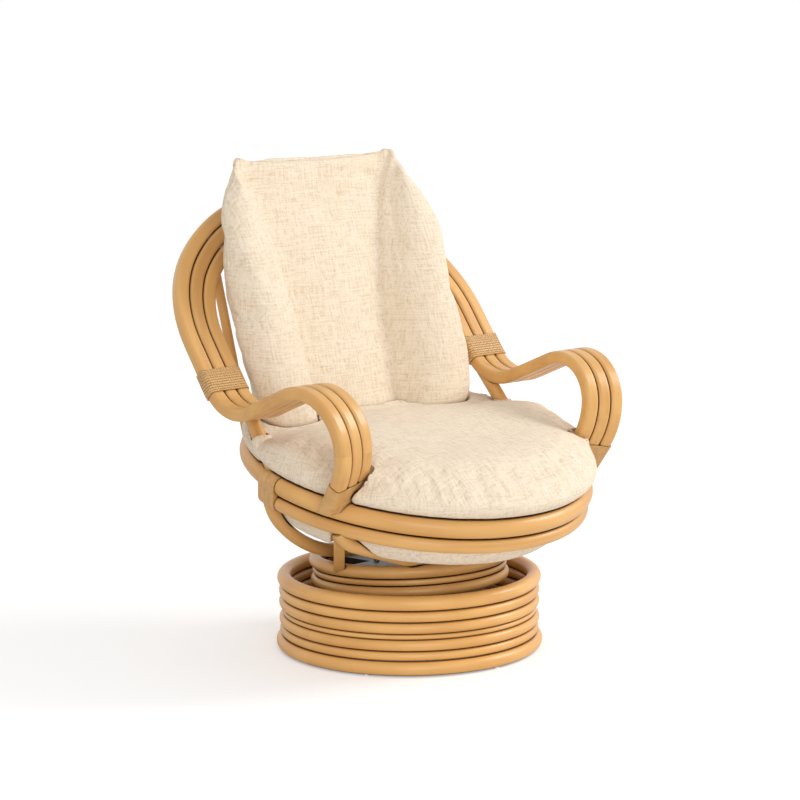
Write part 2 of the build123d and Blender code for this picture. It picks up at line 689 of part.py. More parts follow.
def rear_cradle(extra=0.0):
    walk = Walker(cradle_start(REAR_CRADLE_Y, CRADLE_CANE), Circle(CRADLE_CANE / 2 + extra))
    walk.run(REAR_CRADLE_FLAT)
    for radius, angle in REAR_CRADLE_BENDS:
        walk.bend(radius, angle, 0)
    walk.run(REAR_CRADLE_TIP)
    return walk.solid()


def front_cradle(extra=0.0):
    walk = Walker(cradle_start(FRONT_CRADLE_Y, CRADLE_CANE), Circle(CRADLE_CANE / 2 + extra))
    walk.run(FRONT_CRADLE_FLAT).bend(*FRONT_CRADLE_BEND, 0).run(FRONT_CRADLE_SLOPE)
    walk.bend(*FRONT_CRADLE_HOOK, 0).run(FRONT_CRADLE_TIP)
    return walk.solid()


def strut(extra=0.0, start=0.0, shorten=0.0):
    """Square bar from the upper drum's top hoop to the lower seat hoop, on the -X side."""
    turn = radians(STRUT_FOOT)
    x = UPPER_DRUM_RADIUS * cos(turn)
    y = UPPER_DRUM_Y + UPPER_DRUM_RADIUS * sin(turn)
    foot = lean(Vertex(x, y, UPPER_LEVELS[-1])).center()
    run = on_hoop(STRUT_HEAD, HOOP_RADIUS, LOWER_LIFT) - foot
    along = run.normalized()
    plane = Plane(origin=foot + along * start, x_dir=along.cross(Vector(0, 0, 1)), z_dir=along)
    side = STRUT_SIDE + 2 * extra
    return extrude(plane * RectangleRounded(side, side, 3 + extra), run.length - start - shorten)


def hoops_and_cradle():
    upper_tool = upper_hoop(SEAT_GAP)
    lower_tool = lower_hoop(SEAT_GAP)
    rear_tool = rear_cradle(SEAT_GAP)
    front_tool = front_cradle(SEAT_GAP)
    stops = ribbon().stops
    socket = arm_dowel(stops, NAIL_GAP)
    sockets = [socket, mirrored(socket)]
    write("seat_hoop_upper", biggest(upper_hoop() - sockets))
    write("seat_hoop_lower", lower_hoop())

    rear = cut(rear_cradle(), upper_tool, lower_tool)
    write("cradle_cane_rear", fused([rear, mirrored(rear)]))
    front = cut(front_cradle(), lower_tool)
    write("cradle_cane_front", fused([front, mirrored(front)]))

    drum_tool = lean(ring(UPPER_DRUM_RADIUS, UPPER_CANES[-1] + 2 * SEAT_GAP, UPPER_LEVELS[-1], UPPER_DRUM_Y))
    write_pair("strut", cut(strut(), drum_tool, lower_tool, front_tool))

    length = strut().volume / STRUT_SIDE**2
    outer = strut(WRAP_THICKNESS + SEAT_GAP, start=length - STRUT_WRAP)
    binding = cut(outer, strut(SEAT_GAP), lower_tool, front_tool)
    write_pair("strut_binding", binding)

    skin = 2 * (WRAP_THICKNESS + SEAT_GAP)
    above = round_section(UPPER_LIFT, UPPER_HOOP_CANE + skin)
    below = round_section(LOWER_LIFT, LOWER_HOOP_CANE + skin)
    sleeve = hoop_arc(make_hull((above + below).edges()), WRAP_START, WRAP_ARC)
    tip = Walker(cradle_start(REAR_CRADLE_Y, CRADLE_CANE), Circle(CRADLE_CANE / 2))
    tip.run(REAR_CRADLE_FLAT)
    for radius, angle in REAR_CRADLE_BENDS:
        tip.bend(radius, angle, 0)
    tail = Walker(tip.plane, Circle(CRADLE_CANE / 2 + WRAP_THICKNESS + SEAT_GAP))
    tail.run(WRAP_TAIL)
    stem = rod(*upright_axis(), UPRIGHT_CANE + 2 * SEAT_GAP)
    write_pair("hoop_wrap", cut(sleeve + tail.solid(), upper_tool, lower_tool, rear_tool, stem))


# --- Back-and-arm loop -----------------------------------------------------------------------

RECLINE = radians(BACK_RECLINE)
HALF_STRIP = 1.5 * RIBBON_CANE
SHOULDER_IN = SHOULDER_RADIUS * (1 - cos(radians(SHOULDER_TURN)))
TOP_RADIUS = (LOOP_HALF_WIDTH - SHOULDER_IN) / sin(radians(90 - SHOULDER_TURN))
TOP_LEVEL = (
    SHOULDER_LEVEL
    + SHOULDER_RADIUS * sin(radians(SHOULDER_TURN))
    + TOP_RADIUS * (1 - cos(radians(90 - SHOULDER_TURN)))
)
BACK_NORMAL = -90      # toward the front face, in the strip's own axes
UNDER = 90 + CURL_LEAN


def ribbon(*profiles):
    """The -X half of the strip, from the top of the loop to the arm's end on the hoop."""
    level = TOP_LEVEL - HALF_STRIP
    up = Vector(0, sin(RECLINE), cos(RECLINE))
    start = Plane(origin=Vector(0, LOOP_Y, LOOP_Z) + up * level, x_dir=up, z_dir=(-1, 0, 0))
    walk = Walker(start, *profiles)
    walk.bend(TOP_RADIUS - HALF_STRIP, 90 - SHOULDER_TURN, 180)
    walk.bend(SHOULDER_RADIUS - HALF_STRIP, SHOULDER_TURN, 180)
    walk.run(SHOULDER_LEVEL + LEG_DROP)
    walk.bend(LOW_BEND_RADIUS, 90 - BACK_RECLINE + ARM_RISE, BACK_NORMAL)
    walk.run(ARM_RUN)
    walk.bend(CURL_RADIUS - RIBBON_THICKNESS / 2, 90 + ARM_RISE, UNDER)
    walk.bend(TAIL_RADIUS - RIBBON_THICKNESS / 2, TAIL_TURN, UNDER)
    walk.run(TAIL_RUN)
    return walk


def upright_axis():
    """From inside the inner cane's low bend to inside the upper hoop."""
    leg = ribbon().stops[3]
    turn = Walker(leg).bend(LOW_BEND_RADIUS, UPRIGHT_HEAD_TURN, BACK_NORMAL).plane
    head = turn.origin - turn.x_dir * RIBBON_CANE
    return head, on_hoop(UPRIGHT_FOOT, HOOP_RADIUS - UPRIGHT_INSET, UPPER_LIFT + UPRIGHT_LIFT)


def cane_section(place, extra=0.0):
    """One flat cane of the strip; place is -1 for the inner, 0 and 1 for the outer."""
    width = RIBBON_CANE - SEAT_GAP + 2 * extra
    return Pos(place * RIBBON_CANE, 0) * RectangleRounded(
        width, RIBBON_THICKNESS + 2 * extra, RIBBON_ROUND + extra
    )


def strip_section(extra):
    """Outline around all three canes."""
    width = 3 * RIBBON_CANE - SEAT_GAP + 2 * extra
    return RectangleRounded(width, RIBBON_THICKNESS + 2 * extra, RIBBON_ROUND + extra)


def arm_dowel(stops, extra=0.0):
    """Peg from inside the middle cane's end down to the middle of the upper hoop."""
    start = stops[8].origin - stops[8].z_dir * DOWEL_DEPTH
    aim = on_hoop(arm_foot(stops), HOOP_RADIUS, UPPER_LIFT)
    along = (aim - start).normalized() * extra
    return rod(start - along, aim + along, DOWEL + 2 * extra)


def arm_foot(stops):
    """Degrees round the hoop at which the arm's end comes down on it."""
    end = HOOP.to_local_coords(stops[8].origin)
    return degrees(atan2(end.Y, end.X)) % 360


def woven_sleeve(stops):
    """Rows of narrow cane bound round the strip, on the leg and the start of the bend."""
    inner = strip_section(SEAT_GAP)
    crest = strip_section(SEAT_GAP + WEAVE_THICKNESS) - inner
    dip = strip_section(SEAT_GAP + WEAVE_THICKNESS - WEAVE_GROOVE) - inner
    foot = stops[3]
    start = Plane(foot.origin - foot.z_dir * WEAVE_LENGTH, foot.x_dir, foot.z_dir)
    walk = Walker(start)
    pieces = []
    row = WEAVE_LENGTH / WEAVE_ROWS
    for i in range(WEAVE_ROWS):
        for profile, share in ((crest, 0.78), (dip, 0.22)):
            piece = Walker(walk.plane, profile).run(row * share)
            walk.stop(piece.plane)
            pieces.append(piece.solid())
    turn = WEAVE_TURN / WEAVE_BEND_ROWS
    for i in range(WEAVE_BEND_ROWS):
        for profile, share in ((dip, 0.22), (crest, 0.78)):
            piece = Walker(walk.plane, profile).bend(LOW_BEND_RADIUS, turn * share, BACK_NORMAL)
            walk.stop(piece.plane)
            pieces.append(piece.solid())
    return fused(pieces)


def loop_and_arms():
    upper_tool = upper_hoop(SEAT_GAP)
    lower_tool = lower_hoop(SEAT_GAP)
    walk = ribbon(cane_section(-1), cane_section(0), cane_section(1))
    stops = walk.stops
    write("arm_dowels", arm_dowel(stops), mirrored(arm_dowel(stops)))
    below = HOOP.location * Pos(-HOOP_RADIUS, 0, TAIL_END_LIFT - 50) * Box(200, 500, 100)
    for name, half in zip(("inner", "middle", "outer"), walk.solids()):
        half = cut(half, upper_tool, below)
        if name == "middle":
            half = biggest(half - [arm_dowel(stops, NAIL_GAP)])
        write(f"loop_cane_{name}", fused([half, mirrored(half)]))
    write_pair("weave_wrap", woven_sleeve(stops))

    band = Walker(stops[7], strip_section(WRAP_THICKNESS + SEAT_GAP) - strip_section(SEAT_GAP)).run(TAIL_RUN)
    write_pair("arm_band", cut(band.solid(), upper_tool, below))

    bend = Walker(stops[3], strip_section(SEAT_GAP)).bend(
        LOW_BEND_RADIUS, 90 - BACK_RECLINE + ARM_RISE, BACK_NORMAL
    )
    woven = Walker(stops[3], strip_section(2 * SEAT_GAP + WEAVE_THICKNESS)).bend(
        LOW_BEND_RADIUS, WEAVE_TURN, BACK_NORMAL
    )
    leg = Plane(stops[3].origin - stops[3].z_dir * WEAVE_LENGTH, stops[3].x_dir, stops[3].z_dir)
    woven_leg = Walker(leg, strip_section(2 * SEAT_GAP + WEAVE_THICKNESS)).run(WEAVE_LENGTH)
    upright = cut(rod(*upright_axis(), UPRIGHT_CANE), bend.solid(), woven.solid(), woven_leg.solid(), upper_tool)
    write_pair("upright", upright)

    arcs = Walker(stops[0], cane_section(-1, SEAT_GAP))
    arcs.bend(TOP_RADIUS - HALF_STRIP, 90 - SHOULDER_TURN, 180)
    arcs.bend(SHOULDER_RADIUS - HALF_STRIP, SHOULDER_TURN / 2, 180)
    pairs = {
        "back_spindles_outer": (OUTER_SPINDLE_HEAD, OUTER_SPINDLE_FOOT),
        "back_spindles_inner": (INNER_SPINDLE_HEAD, INNER_SPINDLE_FOOT),
    }
    for name, (head_turn, foot_turn) in pairs.items():
        top = Walker(stops[0]).bend(TOP_RADIUS - HALF_STRIP, head_turn, 180).plane
        head = top.origin - top.x_dir * RIBBON_CANE
        foot = on_hoop(foot_turn, HOOP_RADIUS, UPPER_LIFT)
        spindle = cut(rod(head, foot, SPINDLE_CANE), arcs.solid(), upper_tool)
        write(name, spindle, mirrored(spindle))
    return stops


# --- Cushions --------------------------------------------------------------------------------


def seat_profile(extra=0.0):
    """Half outline of the seat cushion: a belly in the hoop, a rim over it and a low crown."""
    ball = UPPER_HOOP_CANE / 2 + SOFT_GAP
    inner = HOOP_RADIUS - ball
    toe = (HOOP_RADIUS + ball * cos(radians(80)), UPPER_LIFT + ball * sin(radians(80)))
    heel = (SEAT_HEEL_RADIUS, SEAT_HEEL_HEIGHT)
    waist = (inner - 1, LOWER_LIFT)
    rim = (SEAT_BULGE_RADIUS + extra, SEAT_BULGE_HEIGHT)
    shoulder = (SEAT_SHOULDER_RADIUS + extra, SEAT_SHOULDER_HEIGHT + extra)
    crown = (0, SEAT_CROWN_HEIGHT + extra)
    sag = heel[1] - SEAT_BELLY_HEIGHT
    bowl = (heel[0] ** 2 + sag**2) / (2 * sag)
    half_heel = heel[0] / 2
    with BuildSketch() as outline:
        with BuildLine():
            low = SEAT_BELLY_HEIGHT + bowl - sqrt(bowl**2 - half_heel**2)
            ThreePointArc((0, SEAT_BELLY_HEIGHT), (half_heel, low), heel)
            corner_x = (heel[0] + waist[0]) / 2 + SEAT_HEEL_FULLNESS * (waist[1] - heel[1]) / 2
            corner_y = (heel[1] + waist[1]) / 2 - SEAT_HEEL_FULLNESS * (waist[0] - heel[0]) / 2
            ThreePointArc(heel, (corner_x, corner_y), waist)
            Line(waist, (inner, UPPER_LIFT))
            turn = radians(130)
            over = (HOOP_RADIUS + ball * cos(turn), UPPER_LIFT + ball * sin(turn))
            ThreePointArc((inner, UPPER_LIFT), over, toe)
            belly = ((toe[0] + rim[0]) / 2 + 7, (toe[1] + rim[1]) / 2 - 4)
            ThreePointArc(toe, belly, rim)
            cheek = ((rim[0] + shoulder[0]) / 2 + 8, (rim[1] + shoulder[1]) / 2 + 8)
            ThreePointArc(rim, cheek, shoulder)
            rise = crown[1] - shoulder[1]
            dome = (shoulder[0] ** 2 + rise**2) / (2 * rise)
            half_out = shoulder[0] / 2
            ThreePointArc(shoulder, (half_out, crown[1] - dome + sqrt(dome**2 - half_out**2)), crown)
            Line(crown, (0, SEAT_BELLY_HEIGHT))
        make_face()
    return outline.sketch


def seat_body(extra=0.0):
    return hoop_arc(seat_profile(extra), 90, 360)


def seat_cushion(stops):
    """The seat cushion, let in round the arms' ends, the uprights and the leather on the hoop."""
    clear = WRAP_THICKNESS + SEAT_GAP + SOFT_GAP
    curl = Walker(stops[5], strip_section(SOFT_GAP))
    curl.bend(CURL_RADIUS - RIBBON_THICKNESS / 2, 90 + ARM_RISE, UNDER)
    tail = Walker(stops[6], strip_section(clear))
    tail.bend(TAIL_RADIUS - RIBBON_THICKNESS / 2, TAIL_TURN, UNDER).run(TAIL_RUN)
    band = round_section(UPPER_LIFT, UPPER_HOOP_CANE + 2 * clear)
    wrap = hoop_arc(band, WRAP_START - 0.5, WRAP_ARC + 1)
    stem = rod(*upright_axis(), UPRIGHT_CANE + 2 * SOFT_GAP)
    tools = [curl.solid(), tail.solid(), wrap, stem, rear_cradle(SOFT_GAP), front_cradle(SOFT_GAP)]
    tools.append(strut(clear))
    for angle, head_turn in ((OUTER_SPINDLE_FOOT, OUTER_SPINDLE_HEAD), (INNER_SPINDLE_FOOT, INNER_SPINDLE_HEAD)):
        top = Walker(stops[0]).bend(TOP_RADIUS - HALF_STRIP, head_turn, 180).plane
        top_point = top.origin - top.x_dir * RIBBON_CANE
        tools.append(rod(top_point, on_hoop(angle, HOOP_RADIUS, UPPER_LIFT), SPINDLE_CANE + 2 * SOFT_GAP))
    body = seat_body()
    for tool in tools:
        body = cut(body, tool, mirrored(tool))
    return body


def back_section(height, half, seam, front, rear):
    """One level outline: a plain arc behind and three full lobes in front."""
    crease = CHANNEL_SHARE * half
    sunk = front * (1 - CHANNEL_DEPTH)
    bulge = SIDE_LOBE * front
    run = half - crease
    length = sqrt(run**2 + sunk**2)
    out_x = (half + crease) / 2 + bulge * sunk / length
    out_y = -sunk / 2 - bulge * run / length
    with BuildSketch(Plane.XY.offset(height)) as outline:
        with BuildLine():
            ThreePointArc((half, seam), (0, seam + rear), (-half, seam))
            ThreePointArc((-half, seam), (-out_x, seam + out_y), (-crease, seam - sunk))
            ThreePointArc((-crease, seam - sunk), (0, seam - front), (crease, seam - sunk))
            ThreePointArc((crease, seam - sunk), (out_x, seam + out_y), (half, seam))
        make_face()
    return outline.sketch


def back_cushion():
    body = loft([back_section(*section) for section in BACK_SECTIONS])
    return cut(body, seat_body(SOFT_GAP))


base_drum()
upper_drum()
mechanism()
hoops_and_cradle()
LOOP_STOPS = loop_and_arms()
write("seat_cushion", seat_cushion(LOOP_STOPS))
write("back_cushion", back_cushion())
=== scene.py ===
import json
import math

import bmesh
import bpy
import numpy as np
from mathutils import Matrix, Vector, noise
from mathutils.bvhtree import BVHTree

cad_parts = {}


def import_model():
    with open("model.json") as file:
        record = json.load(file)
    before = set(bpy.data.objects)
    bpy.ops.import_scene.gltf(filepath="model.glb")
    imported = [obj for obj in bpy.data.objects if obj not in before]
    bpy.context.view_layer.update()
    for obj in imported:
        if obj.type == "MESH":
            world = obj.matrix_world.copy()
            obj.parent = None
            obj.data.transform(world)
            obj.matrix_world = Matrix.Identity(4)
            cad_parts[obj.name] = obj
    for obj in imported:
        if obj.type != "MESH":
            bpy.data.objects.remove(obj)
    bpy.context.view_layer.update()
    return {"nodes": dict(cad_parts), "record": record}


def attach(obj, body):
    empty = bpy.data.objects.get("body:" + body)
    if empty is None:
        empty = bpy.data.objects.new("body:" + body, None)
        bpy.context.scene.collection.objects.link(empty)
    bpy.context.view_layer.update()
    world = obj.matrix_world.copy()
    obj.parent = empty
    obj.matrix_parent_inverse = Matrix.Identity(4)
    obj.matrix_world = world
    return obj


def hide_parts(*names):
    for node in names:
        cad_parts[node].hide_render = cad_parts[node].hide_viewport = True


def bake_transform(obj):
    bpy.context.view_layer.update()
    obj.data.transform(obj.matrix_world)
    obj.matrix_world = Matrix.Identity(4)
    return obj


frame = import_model()


def swivel_y():
    joints = frame["record"]["behaviour"]["joints"]
    return next(joint["pos_m"][1] for joint in joints if joint["name"] == "swivel")


AXIS_Y = swivel_y()


def at(x, y, z):
    """A place given from the point on the floor under the swivel axis."""
    return (x, y + AXIS_Y, z)


# Places, in metres, from the point on the floor under the swivel axis
HOOP_CENTRE = at(0.0, -0.020, 0.328)
HOOP_SLOPE = math.radians(11.6)
DRUM_CENTRE = at(0.0, 0.0, 0.07)
UPPER_DRUM_CENTRE = at(0.0, -0.004, 0.17)
UPPER_DRUM_LEAN = math.radians(2.9)
LOOP_CENTRE = at(0.0, 0.1618, 0.5407)
LOOP_RECLINE = math.radians(37.4)
ARM_CENTRE = at(0.0, -0.080, 0.430)
STRUT_HEAD = at(0, 0, 0.27)
CRADLE_CENTRE = at(0, 0, 0.55)
SPINDLE_LEAN = math.radians(20)
ARM_BACK = 0.139 + AXIS_Y       # y behind which the strip is the loop's leg

# The photograph's camera
CAMERA_PLACE = at(-3.2688, -3.7512, 1.2722)
CAMERA_RIGHT = (0.755103, -0.655569, -0.006986)
CAMERA_UP = (0.109793, 0.115943, 0.987169)
FOCAL_LENGTH = 121.5            # mm, on a 36 mm sensor

# Cushion making
VOXEL = 0.005
SEAT_INSET = 0.007
BACK_INSET = 0.009
PRESSURE = 4.0
CLOTH_FRAMES = 20
SEAT_CAP = 0.022
BACK_CAP = 0.024
CREASE_WIDTH = 0.014
CUSHION_GAP = 0.0025            # between the two cushions where they press together
SEAT_RADIUS = 0.30
SEAT_TOP = 0.103                # over the hoop's plane, in the middle
SEAT_DISH = 0.010               # how much higher at the rim
SEAT_SINK = 0.028               # how much lower under the back cushion
SEWN_WIDTH, SEWN_DEPTH = 0.005, 0.0035
PUCKER = 0.0030                 # height of the puckers beside the channels

# Back cushion by level: height, half width and y at the side seams, half the distance between
# the channels and their y, then the y of the middle panel and of the back
BACK_LEVELS = (
    (0.398, 0.215, 0.112, 0.094, 0.142, 0.126, 0.190),
    (0.412, 0.238, 0.108, 0.097, 0.144, 0.126, 0.202),
    (0.440, 0.260, 0.108, 0.100, 0.150, 0.130, 0.212),
    (0.480, 0.272, 0.120, 0.103, 0.160, 0.140, 0.222),
    (0.523, 0.279, 0.135, 0.104, 0.172, 0.151, 0.230),
    (0.564, 0.282, 0.152, 0.106, 0.184, 0.164, 0.240),
    (0.606, 0.284, 0.167, 0.109, 0.197, 0.177, 0.253),
    (0.647, 0.283, 0.181, 0.112, 0.209, 0.190, 0.268),
    (0.689, 0.283, 0.193, 0.117, 0.220, 0.202, 0.281),
    (0.732, 0.281, 0.203, 0.124, 0.232, 0.214, 0.290),
    (0.773, 0.276, 0.212, 0.134, 0.243, 0.227, 0.296),
    (0.810, 0.266, 0.227, 0.147, 0.255, 0.241, 0.301),
    (0.845, 0.250, 0.241, 0.159, 0.265, 0.253, 0.302),
    (0.878, 0.230, 0.253, 0.173, 0.272, 0.261, 0.298),
    (0.903, 0.211, 0.262, 0.184, 0.274, 0.265, 0.293),
    (0.916, 0.202, 0.267, 0.182, 0.275, 0.269, 0.288),
)
LOBE_REACH = 0.49               # of a lobe's width, forward of its ends
THINNEST = 0.014                # between a channel and the back
RINGS = 110
RING_POINTS = 30                # on each of the three parts of half an outline

FABRIC = (0.85, 0.73, 0.575)
FABRIC_DARK = (0.60, 0.465, 0.31)
FABRIC_WARM = (0.76, 0.61, 0.425)
FABRIC_SHADE = (0.52, 0.37, 0.24)
CANE_LIGHT = (0.745, 0.418, 0.138)
CANE_MID = (0.655, 0.342, 0.104)
CANE_DARK = (0.42, 0.195, 0.055)
# Painted shade for the grooves between canes and between turns of binding: full, and softer for the
# base hoops
GROOVE_SHADE = (0.035, 0.012, 0.004)
SOFT_GROOVE_SHADE = (0.22, 0.105, 0.034)
GROOVE_SHADE_REACH = 0.006            # how near two canes are where the painted shade in the groove between them is dark
HIDE_LIGHT = (0.68, 0.385, 0.135)
HIDE_MID = (0.54, 0.285, 0.09)
# Painted shade in the seams between turns of binding
HIDE_SEAM_SHADE = (0.20, 0.085, 0.028)
WEAVE_LIGHT = (0.78, 0.47, 0.18)
WEAVE_MID = (0.60, 0.34, 0.115)
# Painted shade between the strands of the weave
WEAVE_GAP_SHADE = (0.17, 0.075, 0.026)
WEAVE_PITCH = 0.0052
BLACK, WHITE = (0, 0, 0), (1, 1, 1)

ROUND_RADIUS = 0.3              # turns an angle round an axis into a distance
FACING_SCALE = 60.0             # noise that breaks the edge between two cloth directions
FACING_JITTER = 0.25
FOLD_REACH = 0.03               # how near two cushion surfaces are where a fold is shaded
METAL_GRAIN = 300.0

FLOOR_GLOW = (0.33, 0.42)       # near the chair and far from it, seen by the camera alone
FLOOR_GLOW_REACH = (0.6, 4.0)   # m from the middle
FLOOR_HALF = 60.0
WORLD_LIGHT = 0.75              # on the object; the camera and gloss see 1, which is white

# Lamps: name, place, target, size in m and power in W
LAMPS = (
    ("key", at(2.6, -1.6, 2.2), at(0, 0, 0.45), 1.5, 62),
    ("fill", at(-1.9, -3.0, 1.0), at(0, 0, 0.3), 2.0, 34),
)


# --- Node helpers ----------------------------------------------------------------------------


def grey(value):
    return (value, value, value)


def toned(colour, tone):
    return tuple(c * tone for c in colour)


class Nodes:
    """A short way to build a material's nodes."""

    def __init__(self, name):
        self.material = bpy.data.materials.new(name)
        self.material.use_nodes = True
        self.tree = self.material.node_tree
        self.shader = self.tree.nodes["Principled BSDF"]

    def put(self, socket, value):
        if isinstance(value, bpy.types.NodeSocket):
            self.tree.links.new(value, socket)
        else:
            socket.default_value = value

    def math(self, operation, a, b=0.0, c=0.0):
        node = self.tree.nodes.new("ShaderNodeMath")
        node.operation = operation
        for socket, value in zip(node.inputs, (a, b, c)):
            self.put(socket, value)
        return node.outputs[0]

    def place(self):
        return self.tree.nodes.new("ShaderNodeTexCoord").outputs["Object"]

    def mapped(self, vector, location=(0, 0, 0), rotation=(0, 0, 0), scale=(1, 1, 1)):
        node = self.tree.nodes.new("ShaderNodeMapping")
        self.put(node.inputs["Vector"], vector)
        node.inputs["Location"].default_value = location
        node.inputs["Rotation"].default_value = rotation
        node.inputs["Scale"].default_value = scale
        return node.outputs[0]

    def split(self, vector):
        node = self.tree.nodes.new("ShaderNodeSeparateXYZ")
        self.put(node.inputs[0], vector)
        return node.outputs

    def join(self, x, y, z=0.0):
        node = self.tree.nodes.new("ShaderNodeCombineXYZ")
        for socket, value in zip(node.inputs, (x, y, z)):
            self.put(socket, value)
        return node.outputs[0]

    def noise(self, vector, scale, detail=3.0, roughness=0.55, distortion=0.0):
        node = self.tree.nodes.new("ShaderNodeTexNoise")
        self.put(node.inputs["Vector"], vector)
        node.inputs["Scale"].default_value = scale
        node.inputs["Detail"].default_value = detail
        node.inputs["Roughness"].default_value = roughness
        node.inputs["Distortion"].default_value = distortion
        return node.outputs["Fac"]

    def ramp(self, value, *stops):
        node = self.tree.nodes.new("ShaderNodeValToRGB")
        self.put(node.inputs[0], value)
        elements = node.color_ramp.elements
        while len(elements) < len(stops):
            elements.new(0.5)
        for element, (position, colour) in zip(elements, stops):
            element.position = position
            element.color = (*colour, 1)
        return node.outputs[0]

    def mix(self, share, a, b, blend="MIX"):
        node = self.tree.nodes.new("ShaderNodeMix")
        node.data_type = "RGBA"
        node.blend_type = blend
        self.put(node.inputs[0], share)
        self.put(node.inputs[6], a if isinstance(a, bpy.types.NodeSocket) else (*a, 1))
        self.put(node.inputs[7], b if isinstance(b, bpy.types.NodeSocket) else (*b, 1))
        return node.outputs[2]

    def bump(self, height, distance, strength=1.0, below=None):
        node = self.tree.nodes.new("ShaderNodeBump")
        node.inputs["Strength"].default_value = strength
        node.inputs["Distance"].default_value = distance
        self.put(node.inputs["Height"], height)
        if below is not None:
            self.put(node.inputs["Normal"], below)
        return node.outputs[0]

    def groove_shade(self, colour, dark, reach, start=0.35, end=0.85):
        """Painted shade: darken narrow gaps, by how closed in the surface is."""
        node = self.tree.nodes.new("ShaderNodeAmbientOcclusion")
        node.samples = 8
        node.inputs["Distance"].default_value = reach
        open_share = self.ramp(node.outputs["AO"], (start, BLACK), (end, WHITE))
        return self.mix(open_share, dark, colour)

    def finish(self, colour, roughness, normal=None, **constants):
        self.put(self.shader.inputs["Base Color"], colour)
        self.put(self.shader.inputs["Roughness"], roughness)
        if normal is not None:
            self.put(self.shader.inputs["Normal"], normal)
        for key, value in constants.items():
            self.shader.inputs[key.replace("_", " ")].default_value = value
        return self.material


def round_mapping(nodes, centre, tilt, about="Z"):
    """(distance round, distance out, height) about an axis through centre, tilted about X."""
    vector = nodes.mapped(nodes.place(), location=tuple(-c for c in centre))
    x, y, z = nodes.split(nodes.mapped(vector, rotation=(tilt, 0, 0)))
    first, second, height = {"Z": (x, y, z), "Y": (x, z, y), "X": (y, z, x)}[about]
    turn = nodes.math("ARCTAN2", second, first)
    squares = [nodes.math("MULTIPLY", side, side) for side in (first, second)]
    out = nodes.math("SQRT", nodes.math("ADD", *squares))
    return nodes.join(nodes.math("MULTIPLY", turn, ROUND_RADIUS), out, height)


def faced_mapping(nodes, vector, jitter):
    """(across, up) on whichever plane the surface faces most, with a broken edge between them."""
    ragged = nodes.tree.nodes.new("ShaderNodeTexNoise")
    nodes.put(ragged.inputs["Vector"], vector)
    ragged.inputs["Scale"].default_value = FACING_SCALE
    blend = nodes.tree.nodes.new("ShaderNodeVectorMath")
    blend.operation = "MULTIPLY_ADD"
    nodes.put(blend.inputs[0], ragged.outputs["Color"])
    blend.inputs[1].default_value = (jitter, jitter, jitter)
    nodes.put(blend.inputs[2], nodes.tree.nodes.new("ShaderNodeTexCoord").outputs["Normal"])
    nx, ny, nz = [nodes.math("ABSOLUTE", side) for side in nodes.split(blend.outputs[0])]
    sideways = nodes.math("GREATER_THAN", nx, ny)
    flat = nodes.math("GREATER_THAN", nz, nodes.math("MAXIMUM", nx, ny))
    x, y, z = nodes.split(vector)
    upright = nodes.math("SUBTRACT", 1.0, flat)
    turned = nodes.math("MULTIPLY", sideways, upright)
    across = nodes.math("ADD", nodes.math("MULTIPLY", turned, y),
                        nodes.math("MULTIPLY", nodes.math("SUBTRACT", 1.0, turned), x))
    up = nodes.math("ADD", nodes.math("MULTIPLY", flat, y), nodes.math("MULTIPLY", upright, z))
    return nodes.join(across, up)


# --- Materials -------------------------------------------------------------------------------


def cane_finish(nodes, vector, seed, tone=1.0, groove=GROOVE_SHADE):
    """Lacquered cane: long fibres and slow changes of tone along them, with painted shade in the
    grooves between canes.
    """
    shift = nodes.mapped(vector, location=(seed * 1.7, seed * 0.9, seed * 2.3))
    fibres = nodes.noise(nodes.mapped(shift, scale=(4.0, 330, 330)), 1.0, 3.0, 0.6)
    streaks = nodes.noise(nodes.mapped(shift, scale=(2.2, 75, 75)), 1.0, 2.0, 0.5, 0.3)
    clouds = nodes.noise(nodes.mapped(shift, scale=(6, 12, 12)), 1.0, 2.0, 0.5)
    light, mid, dark = [toned(shade, tone) for shade in (CANE_LIGHT, CANE_MID, CANE_DARK)]
    base = nodes.ramp(clouds, (0.32, mid), (0.66, light))
    stain = nodes.ramp(streaks, (0.55, BLACK), (0.85, grey(0.40)))
    lines = nodes.ramp(fibres, (0.60, BLACK), (0.80, grey(0.22)))
    lined = nodes.mix(lines, nodes.mix(stain, base, dark), dark)
    colour = nodes.groove_shade(lined, groove, GROOVE_SHADE_REACH)
    normal = nodes.bump(fibres, 0.0003, 0.25)
    return nodes.finish(colour, 0.40, normal, Coat_Weight=0.25, Coat_Roughness=0.22,
                        Specular_IOR_Level=0.3)


def cane_round(name, centre, tilt, seed, about="Z", tone=1.0, groove=GROOVE_SHADE):
    nodes = Nodes(name)
    return cane_finish(nodes, round_mapping(nodes, centre, tilt, about), seed, tone, groove)


def cane_strip(name, seed):
    """The three-cane strip: round the loop behind the bindings, round the arm before them."""
    nodes = Nodes(name)
    loop = round_mapping(nodes, LOOP_CENTRE, LOOP_RECLINE, "Y")
    arm = round_mapping(nodes, ARM_CENTRE, 0.0, "X")
    behind = nodes.math("GREATER_THAN", nodes.split(nodes.place())[1], ARM_BACK)
    join = nodes.tree.nodes.new("ShaderNodeMix")
    join.data_type = "VECTOR"
    nodes.put(join.inputs[0], behind)
    nodes.put(join.inputs[4], arm)
    nodes.put(join.inputs[5], loop)
    return cane_finish(nodes, join.outputs[1], seed, 0.95)


def cane_straight(name, along, seed, tone=1.0):
    """Cane whose fibres run along one direction, given as turns about X and Y."""
    nodes = Nodes(name)
    x, y, z = nodes.split(nodes.mapped(nodes.place(), rotation=along))
    return cane_finish(nodes, nodes.join(z, x, y), seed, tone)


